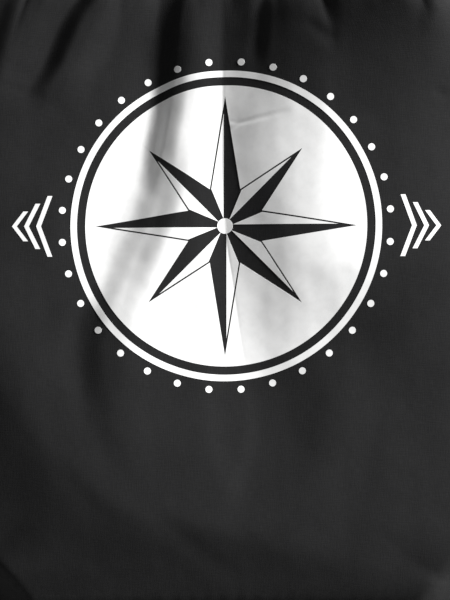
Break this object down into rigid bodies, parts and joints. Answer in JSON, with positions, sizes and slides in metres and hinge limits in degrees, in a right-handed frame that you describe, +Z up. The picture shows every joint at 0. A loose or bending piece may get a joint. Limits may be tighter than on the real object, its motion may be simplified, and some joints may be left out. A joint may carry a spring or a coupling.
{
  "type": "drawstring bag",
  "caption": "Black woven cotton drawstring bag, lightly filled and drawn shut, lying on its back with gathered folds, a ruffled neck and eyelets in the bottom corners.",
  "frame": {"origin": "middle of the bag's box at the level it lies on, under the back panel", "axes": "+Y from the bottom seam to the neck, +Z up out of the printed front, +X to the right as seen from above"},
  "size_m": [0.342, 0.424, 0.1121],
  "materials": {
    "cotton": "black plain-woven cotton, matt",
    "cord": "black braided cotton cord",
    "patch": "black coated reinforcing cloth, satin",
    "eyelet": "pressed nickel-plated eyelet",
    "print": "smooth white transfer film on the cloth"
  },
  "bodies": {
    "root": {"front_panel": "cotton", "back_panel": "cotton", "casing_front": "cotton", "casing_back": "cotton", "drawstring_left": "cord", "drawstring_right": "cord", "corner_patch_left": "patch", "corner_patch_right": "patch", "eyelet_left": "eyelet", "eyelet_right": "eyelet"}
  },
  "joints": []
}
